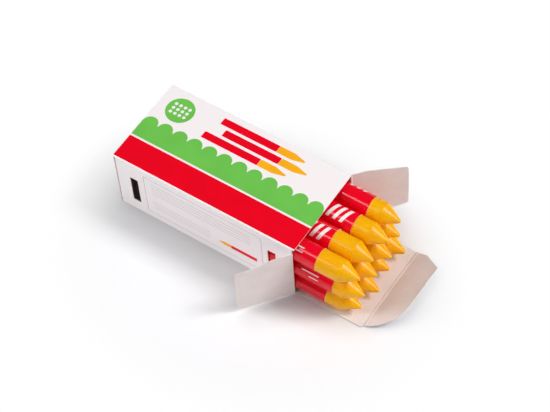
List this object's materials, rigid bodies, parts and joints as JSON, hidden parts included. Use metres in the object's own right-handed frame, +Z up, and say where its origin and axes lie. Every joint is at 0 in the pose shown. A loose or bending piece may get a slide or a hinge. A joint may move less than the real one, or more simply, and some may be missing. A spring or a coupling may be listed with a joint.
{
  "type": "carton of marking crayons",
  "caption": "Open folding carton of round wax marking crayons in paper sleeves; the crayons slide in and out, and the lids, tongues and dust flaps fold on their creases.",
  "frame": {"origin": "centre of the carton's underside, which it rests on", "axes": "+X out of the open end along the crayons, +Z up, -Y the side with the windows"},
  "size_m": [0.1694, 0.1037, 0.0409],
  "materials": {
    "board": "clay-coated white outside, pale grey-pink inside, printed bands",
    "sleeve": "glossy red printed paper",
    "wax": "yellow-orange wax, soft satin"
  },
  "bodies": {
    "carton": {"top_panel": "board", "bottom_panel": "board", "near_side_panel": "board", "far_side_panel": "board", "glue_flap": "board", "rear_near_flap": "board", "rear_far_flap": "board"},
    "front_lid": {"front_lid": "board"},
    "front_tongue": {"front_tongue": "board"},
    "front_near_flap": {"front_near_flap": "board"},
    "front_far_flap": {"front_far_flap": "board"},
    "rear_lid": {"rear_lid": "board"},
    "rear_tongue": {"rear_tongue": "board"},
    "crayon_a1": {"crayon_a1_wax": "wax", "crayon_a1_sleeve": "sleeve"},
    "crayon_a2": {"crayon_a2_wax": "wax", "crayon_a2_sleeve": "sleeve"},
    "crayon_a3": {"crayon_a3_wax": "wax", "crayon_a3_sleeve": "sleeve"},
    "crayon_b1": {"crayon_b1_wax": "wax", "crayon_b1_sleeve": "sleeve"},
    "crayon_b2": {"crayon_b2_wax": "wax", "crayon_b2_sleeve": "sleeve"},
    "crayon_b3": {"crayon_b3_wax": "wax", "crayon_b3_sleeve": "sleeve"},
    "crayon_c1": {"crayon_c1_wax": "wax", "crayon_c1_sleeve": "sleeve"},
    "crayon_c2": {"crayon_c2_wax": "wax", "crayon_c2_sleeve": "sleeve"},
    "crayon_c3": {"crayon_c3_wax": "wax", "crayon_c3_sleeve": "sleeve"},
    "crayon_d1": {"crayon_d1_wax": "wax", "crayon_d1_sleeve": "sleeve"},
    "crayon_d2": {"crayon_d2_wax": "wax", "crayon_d2_sleeve": "sleeve"},
    "crayon_d3": {"crayon_d3_wax": "wax", "crayon_d3_sleeve": "sleeve"}
  },
  "joints": [
    {"name": "front_lid_fold", "type": "hinge", "parent": "carton", "child": "front_lid", "pos_m": [0.05665, 0, 0], "axis": [0, 1, 0], "range_deg": [0, 160]},
    {"name": "front_tongue_fold", "type": "hinge", "parent": "front_lid", "child": "front_tongue", "pos_m": [0.09672, 0, 0], "axis": [0, 1, 0], "range_deg": [-70, 20]},
    {"name": "front_near_flap_fold", "type": "hinge", "parent": "carton", "child": "front_near_flap", "pos_m": [0.05535, -0.02763, 0.02046], "axis": [0, 0, -1], "range_deg": [-125, 44]},
    {"name": "front_far_flap_fold", "type": "hinge", "parent": "carton", "child": "front_far_flap", "pos_m": [0.056, 0.02763, 0.02046], "axis": [0, 0, 1], "range_deg": [-47, 122]},
    {"name": "rear_lid_fold", "type": "hinge", "parent": "carton", "child": "rear_lid", "pos_m": [-0.05665, 0, 0], "axis": [0, -1, 0], "range_deg": [0, 60]},
    {"name": "rear_tongue_fold", "type": "hinge", "parent": "rear_lid", "child": "rear_tongue", "pos_m": [-0.05665, 0, 0.04007], "axis": [0, -1, 0], "range_deg": [-46, 0]},
    {"name": "crayon_a1_slide", "type": "slide", "parent": "carton", "child": "crayon_a1", "axis": [1, 0, 0], "range_m": [-0.03715, 0.054]},
    {"name": "crayon_a2_slide", "type": "slide", "parent": "carton", "child": "crayon_a2", "axis": [1, 0, 0], "range_m": [-0.03965, 0.0515]},
    {"name": "crayon_a3_slide", "type": "slide", "parent": "carton", "child": "crayon_a3", "axis": [1, 0, 0], "range_m": [-0.03765, 0.014]},
    {"name": "crayon_b1_slide", "type": "slide", "parent": "carton", "child": "crayon_b1", "axis": [1, 0, 0], "range_m": [-0.03665, 0.0545]},
    {"name": "crayon_b2_slide", "type": "slide", "parent": "carton", "child": "crayon_b2", "axis": [1, 0, 0], "range_m": [-0.03865, 0.0525]},
    {"name": "crayon_b3_slide", "type": "slide", "parent": "carton", "child": "crayon_b3", "axis": [1, 0, 0], "range_m": [-0.04015, 0.0115]},
    {"name": "crayon_c1_slide", "type": "slide", "parent": "carton", "child": "crayon_c1", "axis": [1, 0, 0], "range_m": [-0.03765, 0.0535]},
    {"name": "crayon_c2_slide", "type": "slide", "parent": "carton", "child": "crayon_c2", "axis": [1, 0, 0], "range_m": [-0.03915, 0.052]},
    {"name": "crayon_c3_slide", "type": "slide", "parent": "carton", "child": "crayon_c3", "axis": [1, 0, 0], "range_m": [-0.03765, 0.014]},
    {"name": "crayon_d1_slide", "type": "slide", "parent": "carton", "child": "crayon_d1", "axis": [1, 0, 0], "range_m": [-0.03615, 0.055]},
    {"name": "crayon_d2_slide", "type": "slide", "parent": "carton", "child": "crayon_d2", "axis": [1, 0, 0], "range_m": [-0.03565, 0.0555]},
    {"name": "crayon_d3_slide", "type": "slide", "parent": "carton", "child": "crayon_d3", "axis": [1, 0, 0], "range_m": [-0.03915, 0.0125]}
  ],
  "couplings": [
    {"joint": "rear_tongue_fold", "follows": "rear_lid_fold", "ratio": -0.75}
  ]
}
